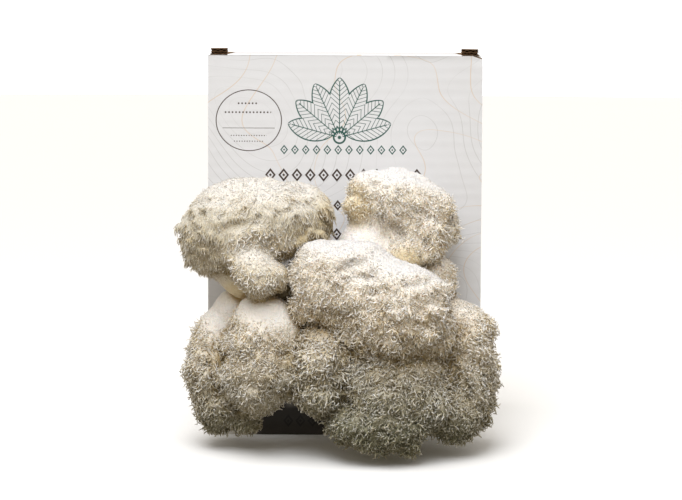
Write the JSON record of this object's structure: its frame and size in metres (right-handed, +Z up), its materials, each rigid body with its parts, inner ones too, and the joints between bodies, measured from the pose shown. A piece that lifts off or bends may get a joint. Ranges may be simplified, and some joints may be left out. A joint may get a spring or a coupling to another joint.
{
  "type": "lions mane mushroom grow kit",
  "caption": "Upright cardboard carton with a bagged sawdust block inside and a branching cluster of spiny white lions mane mushroom heads growing out of a window low in its front.",
  "frame": {"origin": "middle of the carton's bottom face, on the surface that the kit stands on", "axes": "+Z up along the carton's height; -Y out of the carton's front, where the mushrooms grow; +X to the right as the front is seen"},
  "size_m": [0.2024, 0.2356, 0.2446],
  "materials": {
    "carton": "matte",
    "bag_film": "satin",
    "sawdust": "matte",
    "mushroom_flesh": "matte"
  },
  "bodies": {
    "root": {"carton": "carton", "grow_bag": "bag_film", "substrate_block": "sawdust", "mushroom_base": "mushroom_flesh", "head_upper_left": "mushroom_flesh", "head_upper_right": "mushroom_flesh", "head_back_right": "mushroom_flesh", "head_right": "mushroom_flesh", "head_center": "mushroom_flesh", "head_lower_center": "mushroom_flesh", "head_center_left": "mushroom_flesh", "head_left": "mushroom_flesh"}
  },
  "joints": []
}
